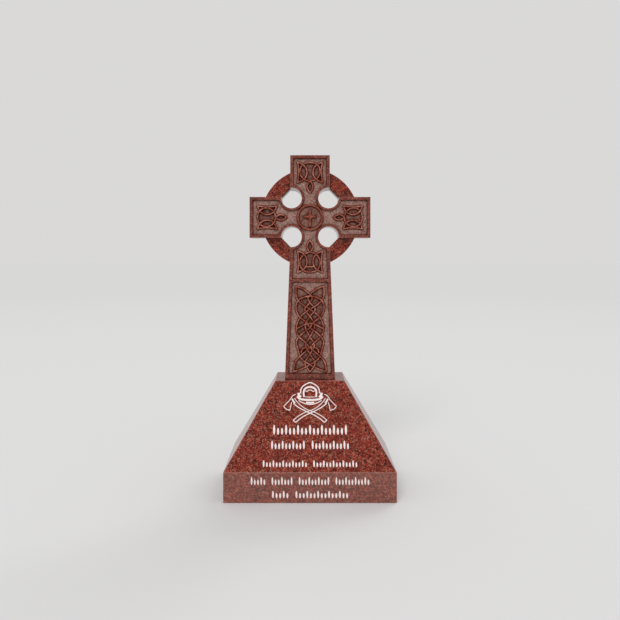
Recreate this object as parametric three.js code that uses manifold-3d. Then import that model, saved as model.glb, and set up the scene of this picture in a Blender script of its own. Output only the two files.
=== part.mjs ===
// Celtic cross headstone: a carved wheel cross of red granite, standing on a granite base whose
// faces slope in above a low upright band.
// Millimetres. X runs to the right, Y runs back from the carved front, Z runs up from the ground,
// and the origin is the middle of the base's underside.

import * as THREE from 'three';
import { mergeVertices } from 'three/addons/utils/BufferGeometryUtils.js';
import Module from 'manifold-3d';

const wasm = await Module();
wasm.setup();

// Base block
const BASE_WIDTH = 762;
const BASE_DEPTH = 406;
const BASE_HEIGHT = 514.5;
const BAND_HEIGHT = 134;
const BASE_TOP_WIDTH = 315;
const BASE_TOP_DEPTH = 198;

// Cross, with heights above the ground
const THICKNESS = 152;
const BED_GAP = 0.3;
const CROSS_TOP = 1546;
const HEAD_CENTRE = 1260;
const ARM_REACH = 278;
const ARM_HALF = 94;
const TOP_ARM_HALF = 91;
const STEM_HALF_AT_ARMS = 89.5;
const STEM_HALF_AT_FOOT = 115.5;

// Wheel: a thinner ring between the arms, pierced by four holes
const WHEEL_RADIUS = 227;
const WHEEL_SETBACK = 30;
const HOLE_RADIUS = 47.3;
const HOLE_ACROSS = 85;
const HOLE_UP = 89.3;
const HOLE_RIM = 11;
const WHEEL_SEGMENTS = 24;
const HOLE_STEPS = 24;
const RIM_SEGMENTS = 14;

// Sunk panels on the front, inside a raised border
const PANEL_DEPTH = 9;
const ARM_BORDER = 15;
const STEM_BORDER = 16;
const DIVIDER_BOTTOM = 962;
const DIVIDER_TOP = 979;
const FOOT_BORDER_TOP = 542;

// Carved strands: a ridge with sloping sides, sunk a little into the panel floor
const STRAND_FOOT = 12;
const STRAND_HEIGHT = 8;
const STRAND_ROOT = 1;
const STRAND_STEP = 18;
const STATION_GAP = 1;
const DIP_DEPTH = 0.6;
const DIP_REACH = 13;
const DIP_CLEARANCE = 19;
const END_CLEARANCE = 12;
const CROSSING_DIVISIONS = 160;
const LENGTH_DIVISIONS = 400;

// Boss in the middle of the head
const BOSS_RADIUS = 56.5;
const BOSS_BAND = 13;
const BOSS_SEGMENTS = 28;
const LITTLE_CROSS_UP = 36;
const LITTLE_CROSS_DOWN = 43;
const LITTLE_CROSS_REACH = 30;
const LITTLE_CROSS_STROKE = 11.5;
const LITTLE_CROSS_FLARE = 9;
const LITTLE_CROSS_BAR = 3;
const LITTLE_CROSS_HEIGHT = 7;
const FLARE_SEGMENTS = 3;

// Cut marks on the base
const MARK_DEPTH = 2;
const MARK_OVERCUT = 0.6;
const GROUP_GAP = 1.5;
const SHORT_STROKE = 0.7;
const STROKE_FILL = 0.68;

// The front plane of the cross and of the wheel, forward of the middle plane
const FRONT = THICKNESS / 2;
const WHEEL_FRONT = FRONT - WHEEL_SETBACK;
const PANEL_FLOOR = FRONT - PANEL_DEPTH;
const SLOPE_RUN = (BASE_DEPTH - BASE_TOP_DEPTH) / 2;
const SLOPE_RISE = BASE_HEIGHT - BAND_HEIGHT;
const SLOPE_TILT = Math.atan2(SLOPE_RUN, SLOPE_RISE);

const polished = new THREE.MeshStandardMaterial({
  color: 0x83402f,
  roughness: 0.22,
  metalness: 0,
  flatShading: true,
});
polished.name = 'red granite';

const polishedBase = new THREE.MeshStandardMaterial({
  color: 0x7a3a2c,
  roughness: 0.2,
  metalness: 0,
  flatShading: true,
});
polishedBase.name = 'red granite of the base';

// Shapes are drawn looking at the front: u to the right, v up and w forward. This turns them upright.
const UPRIGHT = new THREE.Matrix4().makeRotationX(Math.PI / 2);

function solid(geometry) {
  const bare = geometry.clone();
  bare.deleteAttribute('normal');
  bare.deleteAttribute('uv');
  const merged = mergeVertices(bare);
  return new wasm.Manifold(new wasm.Mesh({
    numProp: 3,
    vertProperties: new Float32Array(merged.attributes.position.array),
    triVerts: new Uint32Array(merged.index.array),
  }));
}

function stoneMesh(name, manifold, material) {
  const result = manifold.getMesh();
  const geometry = new THREE.BufferGeometry();
  geometry.setAttribute('position', new THREE.BufferAttribute(new Float32Array(result.vertProperties), 3));
  geometry.setIndex(new THREE.BufferAttribute(new Uint32Array(result.triVerts), 1));
  geometry.applyMatrix4(UPRIGHT);
  geometry.computeVertexNormals();
  const mesh = new THREE.Mesh(geometry, material);
  mesh.name = name;
  return mesh;
}

function polygon(points) {
  return new THREE.Shape(points.map(([u, v]) => new THREE.Vector2(u, v)));
}

function slab(shape, back, front, curveSegments = 12) {
  const geometry = new THREE.ExtrudeGeometry(shape, {
    depth: front - back,
    bevelEnabled: false,
    curveSegments,
  });
  geometry.translate(0, 0, back);
  return solid(geometry);
}

// A box whose top face is narrower than its underside, standing on v = low.
function taperedBlock(width, depth, topWidth, topDepth, low, high) {
  const geometry = new THREE.BoxGeometry(width, high - low, depth);
  const position = geometry.attributes.position;
  for (let i = 0; i < position.count; i += 1) {
    if (position.getY(i) > 0) {
      position.setX(i, Math.sign(position.getX(i)) * topWidth / 2);
      position.setZ(i, Math.sign(position.getZ(i)) * topDepth / 2);
    }
  }
  geometry.translate(0, (low + high) / 2, 0);
  return solid(geometry);
}

// Half the stem's width at a height above the ground.
function stemHalf(height) {
  const top = HEAD_CENTRE - ARM_HALF;
  const fall = (top - height) / (top - BASE_HEIGHT);
  return STEM_HALF_AT_ARMS + fall * (STEM_HALF_AT_FOOT - STEM_HALF_AT_ARMS);
}

// The cross's outline, drawn inward by the given borders, from the foot height up.
function crossOutline(foot, armBorder, stemBorder) {
  const armTop = HEAD_CENTRE + ARM_HALF - armBorder;
  const armBottom = HEAD_CENTRE - ARM_HALF + armBorder;
  const reach = ARM_REACH - armBorder;
  const topHalf = TOP_ARM_HALF - armBorder;
  const shoulder = stemHalf(armBottom) - stemBorder;
  const footHalf = stemHalf(foot) - stemBorder;
  return polygon([
    [-footHalf, foot],
    [footHalf, foot],
    [shoulder, armBottom],
    [reach, armBottom],
    [reach, armTop],
    [topHalf, armTop],
    [topHalf, CROSS_TOP - armBorder],
    [-topHalf, CROSS_TOP - armBorder],
    [-topHalf, armTop],
    [-reach, armTop],
    [-reach, armBottom],
    [-shoulder, armBottom],
  ]);
}

function disc(u, v, radius) {
  const shape = new THREE.Shape();
  shape.absarc(u, v, radius, 0, 2 * Math.PI);
  return shape;
}

// A hole is three quarters of a circle, closed towards the wheel by a straight chord.
function holeShape(sideways, upward) {
  const toArmEdge = TOP_ARM_HALF - HOLE_ACROSS;
  const toArmTop = ARM_HALF - HOLE_UP;
  const start = Math.acos(toArmEdge / HOLE_RADIUS);
  const end = 2 * Math.PI + Math.asin(toArmTop / HOLE_RADIUS);
  const points = [];
  for (let i = 0; i <= HOLE_STEPS; i += 1) {
    const angle = start + (end - start) * i / HOLE_STEPS;
    const u = sideways * (HOLE_ACROSS + HOLE_RADIUS * Math.cos(angle));
    const v = HEAD_CENTRE + upward * (HOLE_UP + HOLE_RADIUS * Math.sin(angle));
    points.push([u, v]);
  }
  return polygon(points);
}

const QUARTERS = [[1, 1], [-1, 1], [-1, -1], [1, -1]];

function crossBody() {
  const outline = crossOutline(BASE_HEIGHT + BED_GAP, 0, 0);
  let body = slab(outline, -FRONT, FRONT);
  body = body.add(slab(disc(0, HEAD_CENTRE, WHEEL_RADIUS), -WHEEL_FRONT, WHEEL_FRONT, WHEEL_SEGMENTS));
  for (const [sideways, upward] of QUARTERS) {
    body = body.subtract(slab(holeShape(sideways, upward), -THICKNESS, THICKNESS));
  }
  return body;
}

// What is cut away to sink the two panels: the cross-shaped one of the head, and the stem's.
function panelCut() {
  const high = FRONT + MARK_OVERCUT;
  let head = slab(crossOutline(DIVIDER_TOP, ARM_BORDER, STEM_BORDER), PANEL_FLOOR, high);
  for (const [sideways, upward] of QUARTERS) {
    const rim = disc(sideways * HOLE_ACROSS, HEAD_CENTRE + upward * HOLE_UP, HOLE_RADIUS + HOLE_RIM);
    head = head.subtract(slab(rim, -THICKNESS, THICKNESS, RIM_SEGMENTS));
  }
  const low = stemHalf(FOOT_BORDER_TOP) - STEM_BORDER;
  const top = stemHalf(DIVIDER_BOTTOM) - STEM_BORDER;
  const stem = polygon([
    [-low, FOOT_BORDER_TOP],
    [low, FOOT_BORDER_TOP],
    [top, DIVIDER_BOTTOM],
    [-top, DIVIDER_BOTTOM],
  ]);
  return head.add(slab(stem, PANEL_FLOOR, high));
}

// A bar swept along stations of {u, v, along: [du, dv], scale}. The section lists [across, height]
// corners, and scale multiplies the heights above the floor.
function sweep(stations, section, floor) {
  const corners = section.length;
  const positions = [];
  for (const { u, v, along, scale } of stations) {
    for (const [across, height] of section) {
      const lift = height > 0 ? height * scale : height;
      positions.push(u + along[1] * across, v - along[0] * across, floor + lift);
    }
  }
  const indices = [];
  for (let s = 0; s + 1 < stations.length; s += 1) {
    for (let i = 0; i < corners; i += 1) {
      const j = (i + 1) % corners;
      const here = s * corners;
      const next = here + corners;
      indices.push(here + i, next + i, next + j);
      indices.push(here + i, next + j, here + j);
    }
  }
  const last = (stations.length - 1) * corners;
  for (let i = 1; i + 1 < corners; i += 1) {
    indices.push(0, i, i + 1);
    indices.push(last, last + i + 1, last + i);
  }
  const geometry = new THREE.BufferGeometry();
  geometry.setAttribute('position', new THREE.Float32BufferAttribute(positions, 3));
  geometry.setIndex(indices);
  return solid(geometry);
}

const STRAND_SECTION = [
  [-STRAND_FOOT / 2, -STRAND_ROOT],
  [STRAND_FOOT / 2, -STRAND_ROOT],
  [0, STRAND_HEIGHT],
];

// A strand is a smooth line through its points, placed on the cross by a matrix.
function strand(points, placement = new THREE.Matrix4()) {
  const placed = points.map(([u, v]) => new THREE.Vector3(u, v, 0).applyMatrix4(placement));
  const curve = new THREE.CatmullRomCurve3(placed, false, 'centripetal');
  curve.arcLengthDivisions = LENGTH_DIVISIONS;
  return { curve, length: curve.getLength(), crossings: [] };
}

function mirrored(points) {
  return points.map(([u, v]) => [-u, v]);
}

// Where two short segments cross: how far along each of them, or null.
function segmentsCross(a, b, c, d) {
  const r = [b.x - a.x, b.y - a.y];
  const s = [d.x - c.x, d.y - c.y];
  const denominator = r[0] * s[1] - r[1] * s[0];
  if (Math.abs(denominator) < 1e-9) {
    return null;
  }
  const t = ((c.x - a.x) * s[1] - (c.y - a.y) * s[0]) / denominator;
  const q = ((c.x - a.x) * r[1] - (c.y - a.y) * r[0]) / denominator;
  return t >= 0 && t < 1 && q >= 0 && q < 1 ? [t, q] : null;
}

// Finds where the strands cross, and lets each go over and under by turns.
function weave(strands) {
  const lines = strands.map((item) => item.curve.getSpacedPoints(CROSSING_DIVISIONS));
  for (let i = 0; i < strands.length; i += 1) {
    for (let j = i + 1; j < strands.length; j += 1) {
      for (let m = 0; m < CROSSING_DIVISIONS; m += 1) {
        for (let n = 0; n < CROSSING_DIVISIONS; n += 1) {
          const hit = segmentsCross(lines[i][m], lines[i][m + 1], lines[j][n], lines[j][n + 1]);
          const first = hit ? (m + hit[0]) / CROSSING_DIVISIONS * strands[i].length : 0;
          const second = hit ? (n + hit[1]) / CROSSING_DIVISIONS * strands[j].length : 0;
          const clear = [[first, strands[i].length], [second, strands[j].length]].every(
            ([at, length]) => at > END_CLEARANCE && at < length - END_CLEARANCE,
          );
          if (hit && clear) {
            const crossing = { pair: [strands[i], strands[j]], over: null };
            strands[i].crossings.push({ at: first, crossing });
            strands[j].crossings.push({ at: second, crossing });
          }
        }
      }
    }
  }
  for (const item of strands) {
    item.crossings.sort((a, b) => a.at - b.at);
    const known = item.crossings.findIndex(({ crossing }) => crossing.over !== null);
    let above = known < 0 || (item.crossings[known].crossing.over === item) === (known % 2 === 0);
    for (const { crossing } of item.crossings) {
      if (crossing.over === null) {
        crossing.over = above ? item : crossing.pair.find((other) => other !== item);
      }
      above = crossing.over !== item;
    }
  }
}

// How high a strand stands at a distance along it: it dips where it passes under another.
function strandScale(item, at) {
  let scale = 1;
  for (const { at: centre, crossing } of item.crossings) {
    if (crossing.over !== item) {
      const nearness = Math.max(0, 1 - Math.abs(at - centre) / DIP_REACH);
      scale = Math.min(scale, 1 - DIP_DEPTH * nearness);
    }
  }
  return scale;
}

function strandStations(item) {
  const places = [];
  const count = Math.max(2, Math.round(item.length / STRAND_STEP));
  const dips = item.crossings.filter(({ crossing }) => crossing.over !== item);
  for (let i = 0; i <= count; i += 1) {
    const at = item.length * i / count;
    const crowded = dips.some((dip) => Math.abs(at - dip.at) < DIP_CLEARANCE);
    if (!crowded || i === 0 || i === count) {
      places.push(at);
    }
  }
  for (const dip of dips) {
    for (const offset of [-DIP_REACH, 0, DIP_REACH]) {
      places.push(THREE.MathUtils.clamp(dip.at + offset, 0, item.length));
    }
  }
  places.sort((a, b) => a - b);
  const spaced = places.filter((at, i) => i === 0 || at - places[i - 1] > STATION_GAP);
  return spaced.map((at) => {
    const share = Math.min(at / item.length, 1);
    const point = item.curve.getPointAt(share);
    const tangent = item.curve.getTangentAt(share);
    return { u: point.x, v: point.y, along: [tangent.x, tangent.y], scale: strandScale(item, at) };
  });
}

// One arm's knot, with u across the arm and v outward, seen from the middle of the knot.
// The strand runs up one side of a drop, crosses itself and goes half way round a ring.
const DROP_AND_RING = [
  [0, -96], [-9, -84], [-14, -69], [-9, -54], [0, -45], [22, -38],
  [40, -22], [47, 0], [41, 23], [24, 38], [-1, 43],
];
const CRESCENT_INNER = [[-59, 44], [-33, 33], [-18, 15], [-14, -3], [-18, -22], [-33, -39], [-58, -49]];
const CRESCENT_OUTER = [[-58, 46], [-53.5, 22], [-52.5, -3], [-54, -28], [-58, -52]];
const LOWER_ARM_BAR = [[-21, 19], [21, 19]];

// Each arm's turn about the head, its knot's distance from the middle of the head, and how much
// the knot is stretched across the arm and outward to fit.
const ARM_KNOTS = {
  top: { turn: 0, radius: 210, across: 1, outward: 1, extra: [] },
  left: { turn: Math.PI / 2, radius: 200, across: 0.92, outward: 0.96, extra: [] },
  right: { turn: -Math.PI / 2, radius: 200, across: 0.92, outward: 0.96, extra: [] },
  lower: { turn: Math.PI, radius: 207, across: 1, outward: 1.06, extra: [LOWER_ARM_BAR] },
};

function armKnot({ turn, radius, across, outward, extra }) {
  const placement = new THREE.Matrix4()
    .makeTranslation(0, HEAD_CENTRE, 0)
    .multiply(new THREE.Matrix4().makeRotationZ(turn))
    .multiply(new THREE.Matrix4().makeTranslation(0, radius, 0))
    .scale(new THREE.Vector3(across, outward, 1));
  const halves = [DROP_AND_RING, CRESCENT_INNER, CRESCENT_OUTER];
  const lines = [...halves, ...halves.map(mirrored), ...extra];
  return lines.map((points) => strand(points, placement));
}

// The stem's knot, with heights above the ground. Each line has a mirror image, and the arches
// tie the two sides together.
const OUTER_STRAND = [
  [-64, 943], [-65, 914], [-60, 886], [-36, 860], [0, 838], [42, 804], [61, 765], [56, 718],
  [23, 687], [0, 661], [-45, 622], [-66, 598], [-73, 575], [-75, 550],
];
const ARCHED_STRAND = [
  [1, 898], [-24, 894], [-55, 877], [-65, 844], [-50, 804], [-14, 775], [0, 753],
  [36, 725], [63, 690], [56, 657], [42, 614], [0, 582], [-56, 556], [-77, 551],
];
const INNER_STRAND = [
  [-67, 944], [-37, 934], [0, 906], [10, 889], [0, 868], [-24, 837], [0, 804], [22, 763],
  [0, 710], [-20, 674], [0, 631], [23, 590], [1, 549],
];
const UPPER_ARCH = [[-60, 748], [-26, 766], [0, 772], [26, 766], [60, 748]];
const LOWER_ARCH = [[-41, 638], [-34, 656], [0, 663], [34, 656], [41, 638]];

function stemKnot() {
  const halves = [OUTER_STRAND, ARCHED_STRAND, INNER_STRAND];
  const lines = [...halves, ...halves.map(mirrored), UPPER_ARCH, LOWER_ARCH];
  return lines.map((points) => strand(points));
}

function ridges(strands) {
  weave(strands);
  return strands.map((item) => sweep(strandStations(item), STRAND_SECTION, PANEL_FLOOR));
}

function bossRing() {
  const inner = BOSS_RADIUS - BOSS_BAND / 2;
  const outer = BOSS_RADIUS + BOSS_BAND / 2;
  const slope = BOSS_BAND / 4;
  const profile = [
    [outer, -STRAND_ROOT],
    [outer - slope, STRAND_HEIGHT],
    [inner + slope, STRAND_HEIGHT],
    [inner, -STRAND_ROOT],
    [outer, -STRAND_ROOT],
  ].map(([radius, height]) => new THREE.Vector2(radius, height));
  const geometry = new THREE.LatheGeometry(profile, BOSS_SEGMENTS);
  geometry.rotateX(Math.PI / 2);
  geometry.translate(0, HEAD_CENTRE, PANEL_FLOOR);
  return solid(geometry);
}

// The small cross inside the boss, with its four inner corners curved out.
function littleCross() {
  const half = LITTLE_CROSS_STROKE / 2;
  const flare = half + LITTLE_CROSS_FLARE;
  const bar = HEAD_CENTRE + LITTLE_CROSS_BAR;
  const top = HEAD_CENTRE + LITTLE_CROSS_UP;
  const foot = HEAD_CENTRE - LITTLE_CROSS_DOWN;
  const reach = LITTLE_CROSS_REACH;
  const shape = new THREE.Shape();
  shape.moveTo(-half, foot);
  shape.lineTo(half, foot);
  shape.lineTo(half, bar - flare);
  shape.quadraticCurveTo(half, bar - half, flare, bar - half);
  shape.lineTo(reach, bar - half);
  shape.lineTo(reach, bar + half);
  shape.lineTo(flare, bar + half);
  shape.quadraticCurveTo(half, bar + half, half, bar + flare);
  shape.lineTo(half, top);
  shape.lineTo(-half, top);
  shape.lineTo(-half, bar + flare);
  shape.quadraticCurveTo(-half, bar + half, -flare, bar + half);
  shape.lineTo(-reach, bar + half);
  shape.lineTo(-reach, bar - half);
  shape.lineTo(-flare, bar - half);
  shape.quadraticCurveTo(-half, bar - half, -half, bar - flare);
  shape.closePath();
  return slab(shape, PANEL_FLOOR - STRAND_ROOT, PANEL_FLOOR + LITTLE_CROSS_HEIGHT, FLARE_SEGMENTS);
}

function makeCross() {
  let stone = crossBody().subtract(panelCut());
  const carving = [
    ...Object.values(ARM_KNOTS).flatMap((knot) => ridges(armKnot(knot))),
    ...ridges(stemKnot()),
    bossRing(),
    littleCross(),
  ];
  for (const piece of carving) {
    stone = stone.add(piece);
  }
  return stoneMesh('cross', stone, polished);
}

// The inscription's place: rows of plain cut strokes, standing side by side in groups. Each row
// has its middle's height above the ground, the strokes' height, and the row's width.
const STROKE_ROWS = [
  { up: 308, tall: 44, width: 338, groups: [19] },
  { up: 246, tall: 38, width: 352, groups: [10, 11] },
  { up: 170, tall: 30, width: 422, groups: [14, 14] },
  { up: 97.5, tall: 36, width: 526, groups: [5, 7, 10, 11] },
  { up: 38.5, tall: 34, width: 341, groups: [5, 15] },
];

// Places a cutter, drawn flat with its v measured from the shoulder line, on the base's front.
function onBaseFront(manifold, tilt) {
  const placement = new THREE.Matrix4()
    .makeTranslation(0, BAND_HEIGHT, BASE_DEPTH / 2)
    .multiply(new THREE.Matrix4().makeRotationX(-tilt));
  return manifold.transform(placement.elements);
}

// One stroke: a long lozenge that narrows to a point below the surface.
function strokeCut(u, v, width, tall) {
  const geometry = new THREE.OctahedronGeometry(1, 0);
  geometry.scale(width / 2, tall / 2, MARK_DEPTH);
  geometry.translate(u, v, 0);
  return solid(geometry);
}

function inscriptionCuts() {
  const cuts = [];
  for (const { up, tall, width, groups } of STROKE_ROWS) {
    const tilt = up > BAND_HEIGHT ? SLOPE_TILT : 0;
    const middle = (up - BAND_HEIGHT) / Math.cos(tilt);
    const strokes = groups.reduce((sum, size) => sum + size, 0);
    const pitch = width / (strokes + GROUP_GAP * (groups.length - 1));
    let u = -width / 2 + pitch / 2;
    for (const size of groups) {
      for (let i = 0; i < size; i += 1) {
        const height = i % 3 === 0 ? tall : tall * SHORT_STROKE;
        const v = middle - (tall - height) / 2;
        cuts.push(onBaseFront(strokeCut(u, v, pitch * STROKE_FILL, height), tilt));
        u += pitch;
      }
      u += GROUP_GAP * pitch;
    }
  }
  return cuts;
}

// The emblem, a helmet over two crossed axes, is drawn in cut lines. Each line has its width and
// its points, with distances up the slope measured from the shoulder line. Only the left half of
// the helmet is given, and only one of the axes.
const HELMET_LINES = [
  { width: 6.5, half: [[-43, 338], [-41, 356], [-31, 371], [-15, 381], [0, 386]] },
  { width: 10, half: [[-27, 322], [-29, 340], [-27, 352], [-18, 362], [0, 367]] },
  { width: 4.5, half: [[-22, 350], [-13, 347], [-7, 352], [0, 353]] },
  { width: 4, half: [[-22, 323], [-9, 322.5], [0, 322.5]] },
  { width: 11, half: [[-58, 325], [-47, 315], [-25, 310.5], [0, 309.5]] },
  { width: 5.5, half: [[-52, 307], [-27, 295], [0, 289.5]] },
  { width: 10, half: [[-18, 299], [-8, 297.5], [0, 297]] },
];
const HELMET_SIDE = { width: 14, points: [[-52, 341], [-50, 331], [-42, 321]] };
const AXE_LINES = [
  { width: 4.5, points: [[-65, 334], [-78, 328], [-89, 312], [-105, 295], [-119, 281]] },
  { width: 4.5, points: [[-119, 281], [-108, 270], [-91, 264]] },
  { width: 4.5, points: [[-91, 264], [-87, 283], [-82, 300]] },
  { width: 9, points: [[-81, 315], [-75, 304], [-68, 295]] },
  { width: 4.5, points: [[-71, 317], [-40, 284], [2, 262], [29, 252], [54, 238], [76, 221]] },
  { width: 5.5, points: [[-75, 294], [-31, 266], [-7, 255], [20, 243], [43, 229], [64, 212]] },
  { width: 5.5, points: [[76, 221], [64, 212]] },
];

function grooveCut(width, points) {
  const section = [[-width / 2, MARK_OVERCUT], [0, -MARK_DEPTH], [width / 2, MARK_OVERCUT]];
  const path = points.map(([u, v]) => new THREE.Vector2(u, v));
  const stations = path.map((point, i) => {
    const before = path[Math.max(i - 1, 0)];
    const after = path[Math.min(i + 1, path.length - 1)];
    const along = after.clone().sub(before).normalize();
    return { u: point.x, v: point.y, along: [along.x, along.y], scale: 1 };
  });
  return sweep(stations, section, 0);
}

function emblemCuts() {
  const lines = HELMET_LINES.map(({ width, half }) => {
    const otherHalf = mirrored(half).reverse().slice(1);
    return grooveCut(width, [...half, ...otherHalf]);
  });
  for (const { width, points } of [HELMET_SIDE, ...AXE_LINES]) {
    lines.push(grooveCut(width, points));
    lines.push(grooveCut(width, mirrored(points)));
  }
  return lines.map((line) => onBaseFront(line, SLOPE_TILT));
}

function makeBase() {
  const band = taperedBlock(BASE_WIDTH, BASE_DEPTH, BASE_WIDTH, BASE_DEPTH, 0, BAND_HEIGHT);
  const slope = taperedBlock(
    BASE_WIDTH,
    BASE_DEPTH,
    BASE_TOP_WIDTH,
    BASE_TOP_DEPTH,
    BAND_HEIGHT,
    BASE_HEIGHT,
  );
  let stone = band.add(slope);
  for (const cut of [...inscriptionCuts(), ...emblemCuts()]) {
    stone = stone.subtract(cut);
  }
  return stoneMesh('base', stone, polishedBase);
}

const headstone = new THREE.Group();
headstone.add(makeCross());
headstone.add(makeBase());

export default headstone;
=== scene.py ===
"""The looks of a Celtic cross headstone: the carved cross and its base in red granite, a pale floor
and soft studio light. Shapes are in millimetres, and their coordinates u, v, w run right, up and
forward from the middle of the base's underside. The materials and the studio are in metres."""

import math

import bmesh
import bpy
from mathutils import Matrix, Vector


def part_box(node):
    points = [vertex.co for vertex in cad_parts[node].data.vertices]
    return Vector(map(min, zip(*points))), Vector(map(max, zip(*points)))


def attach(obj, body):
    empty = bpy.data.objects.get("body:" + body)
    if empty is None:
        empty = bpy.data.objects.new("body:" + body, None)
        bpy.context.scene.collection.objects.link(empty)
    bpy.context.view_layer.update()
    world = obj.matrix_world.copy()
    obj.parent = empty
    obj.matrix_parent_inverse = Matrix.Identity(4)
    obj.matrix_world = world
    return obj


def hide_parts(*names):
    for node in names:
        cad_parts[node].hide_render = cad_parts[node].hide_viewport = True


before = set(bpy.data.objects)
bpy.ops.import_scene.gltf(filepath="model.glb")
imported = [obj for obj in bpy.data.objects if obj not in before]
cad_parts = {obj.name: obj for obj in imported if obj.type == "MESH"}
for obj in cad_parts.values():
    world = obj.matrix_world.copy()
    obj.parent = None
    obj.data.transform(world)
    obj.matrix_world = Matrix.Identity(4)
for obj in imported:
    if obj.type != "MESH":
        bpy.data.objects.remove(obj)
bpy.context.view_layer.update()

MM = 0.001

# The two nodes' boxes give the outer sizes
base_low, base_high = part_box("base")
cross_low, cross_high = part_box("cross")
BASE_WIDTH = (base_high.x - base_low.x) / MM
BASE_DEPTH = (base_high.y - base_low.y) / MM
BASE_HEIGHT = base_high.z / MM
CROSS_FOOT = cross_low.z / MM
CROSS_TOP = cross_high.z / MM
THICKNESS = (cross_high.y - cross_low.y) / MM
ARM_REACH = cross_high.x / MM

# Base block
BAND_HEIGHT = 134
BASE_TOP_WIDTH = 315
BASE_TOP_DEPTH = 198
BASE_ARRIS = 2.5

# Cross
HEAD_CENTRE = 1260
ARM_HALF = 94
TOP_ARM_HALF = 91
STEM_HALF_AT_ARMS = 89.5
STEM_HALF_AT_FOOT = 115.5
ARRIS = 1.6

# Wheel and its holes
WHEEL_RADIUS = 227
WHEEL_SETBACK = 30
WHEEL_SEGMENTS = 144
HOLE_RADIUS = 47.3
HOLE_ACROSS = 85
HOLE_UP = 89.3
HOLE_STEPS = 60
HOLE_RIM = 11
RIM_SEGMENTS = 72
QUARTERS = [(1, 1), (-1, 1), (-1, -1), (1, -1)]

# Sunk panels
PANEL_DEPTH = 9
PANEL_DRAFT = 2.4
KNOT_DEPTH = 2.2
ARM_BORDER = 15
STEM_BORDER = 16
DIVIDER_BOTTOM = 962
DIVIDER_TOP = 979
FOOT_BORDER_TOP = 542

# Carved strands
STRAND_FOOT = 12
STRAND_HEIGHT = 8
STRAND_ROOT = 3.2
STRAND_STEP = 3
DIP_DEPTH = 0.6
DIP_REACH = 13
END_CLEARANCE = 12
LINE_STEP = 2.5
LEAST_STEPS = 3
CROSSING_REACH = 4 * LINE_STEP
PARALLEL_BELOW = 1e-9

# A strand's rounded side, as shares of half its foot and of its height
STRAND_SIDE = [(0.98, 0.0), (0.84, 0.4), (0.62, 0.8), (0.36, 0.97), (0.12, 1.0)]

# Boss in the middle of the head
BOSS_RADIUS = 56.5
BOSS_BAND = 13
BOSS_SEGMENTS = 120
LITTLE_CROSS_UP = 36
LITTLE_CROSS_DOWN = 43
LITTLE_CROSS_REACH = 30
LITTLE_CROSS_STROKE = 11.5
LITTLE_CROSS_FLARE = 9
LITTLE_CROSS_BAR = 3
FLARE_STEPS = 6

# How high the little cross stands, the share of that at which its sides turn in, and how far in
# they are there and at the top
LITTLE_CROSS_HEIGHT = 7
SHOULDER_SHARE = 0.6
SHOULDER_INSET = 0.6
TOP_INSET = 2.2

# Cut marks on the base
MARK_DEPTH = 1.4
GROUP_GAP = 1.5
SHORT_STROKE = 0.7
STROKE_FILL = 0.68
STROKE_STEPS = 10
STROKE_TIP = 0.05
TALL_EVERY = 3

# How far a cutter stands out of the face it cuts, and how far past another cutter
OVERCUT = 0.4
SPARE = 1

FRONT = THICKNESS / 2
WHEEL_FRONT = FRONT - WHEEL_SETBACK
PANEL_FLOOR = FRONT - PANEL_DEPTH
SLOPE_RUN = (BASE_DEPTH - BASE_TOP_DEPTH) / 2
SLOPE_RISE = BASE_HEIGHT - BAND_HEIGHT
SLOPE_TILT = math.atan2(SLOPE_RUN, SLOPE_RISE)

# Which finish a face has: its place in the list of materials on each stone
# Darker flanks, walls and knot ground are painted shade; lighter crests and edges, painted
# highlight
POLISHED, FACED, FROSTED, SUNKEN_SHADE, SHADED_FLANK, LIT_CREST, BOSS_TOP, HONED, EDGE_HIGHLIGHT, PAINTED = range(10)

# Edges are smooth below this angle, and faces are upright below this rise of their normals
SMOOTH_BELOW = math.radians(40)
UPRIGHT_BELOW = 0.01

# Turns u, v, w in millimetres into the frame's metres
UPRIGHT = Matrix(((MM, 0, 0, 0), (0, 0, -MM, 0), (0, MM, 0, 0), (0, 0, 0, 1)))


# Meshes


def closed_piece(name, points, faces, finish, placement=UPRIGHT):
    """A closed solid from u, v, w points, with its faces turned outward. It has one finish, or a
    list with one for each face."""
    finishes = finish if isinstance(finish, list) else [finish] * len(faces)
    shape = bmesh.new()
    corners = [shape.verts.new(placement @ Vector(point)) for point in points]
    for face, own_finish in zip(faces, finishes):
        shape.faces.new([corners[i] for i in face]).material_index = own_finish
    bmesh.ops.recalc_face_normals(shape, faces=shape.faces)
    mesh = bpy.data.meshes.new(name)
    for material in FINISHES:
        mesh.materials.append(material)
    shape.to_mesh(mesh)
    shape.free()
    piece = bpy.data.objects.new(name, mesh)
    bpy.context.scene.collection.objects.link(piece)
    return piece


def ring_faces(here, there, count):
    """The faces between two rings of corners, given the number of each ring's first corner."""
    return [
        (here + i, here + (i + 1) % count, there + (i + 1) % count, there + i)
        for i in range(count)
    ]


def loft(name, layers, end_finish, side_finishes):
    """A solid through a stack of outlines, each a list of u, v points at its own w. Each band
    between two outlines has its own finish."""
    count = len(layers[0][1])
    points = [(u, v, w) for w, outline in layers for u, v in outline]
    faces = [list(range(count)), list(range(len(points) - count, len(points)))]
    finishes = [end_finish] * 2
    for layer, side_finish in enumerate(side_finishes):
        faces += ring_faces(layer * count, (layer + 1) * count, count)
        finishes += [side_finish] * count
    return closed_piece(name, points, faces, finishes)


def combine(stone, tool, operation):
    """Joins the tool to the stone or cuts the stone with it, and uses the tool up."""
    modifier = stone.modifiers.new("combine", "BOOLEAN")
    modifier.operation = operation
    modifier.solver = "MANIFOLD"
    modifier.object = tool
    bpy.context.view_layer.update()
    graph = bpy.context.evaluated_depsgraph_get()
    result = bpy.data.meshes.new_from_object(stone.evaluated_get(graph))
    stone.modifiers.clear()
    spent = [stone.data, tool.data]
    stone.data = result
    bpy.data.objects.remove(tool, do_unlink=True)
    for mesh in spent:
        bpy.data.meshes.remove(mesh)


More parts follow.
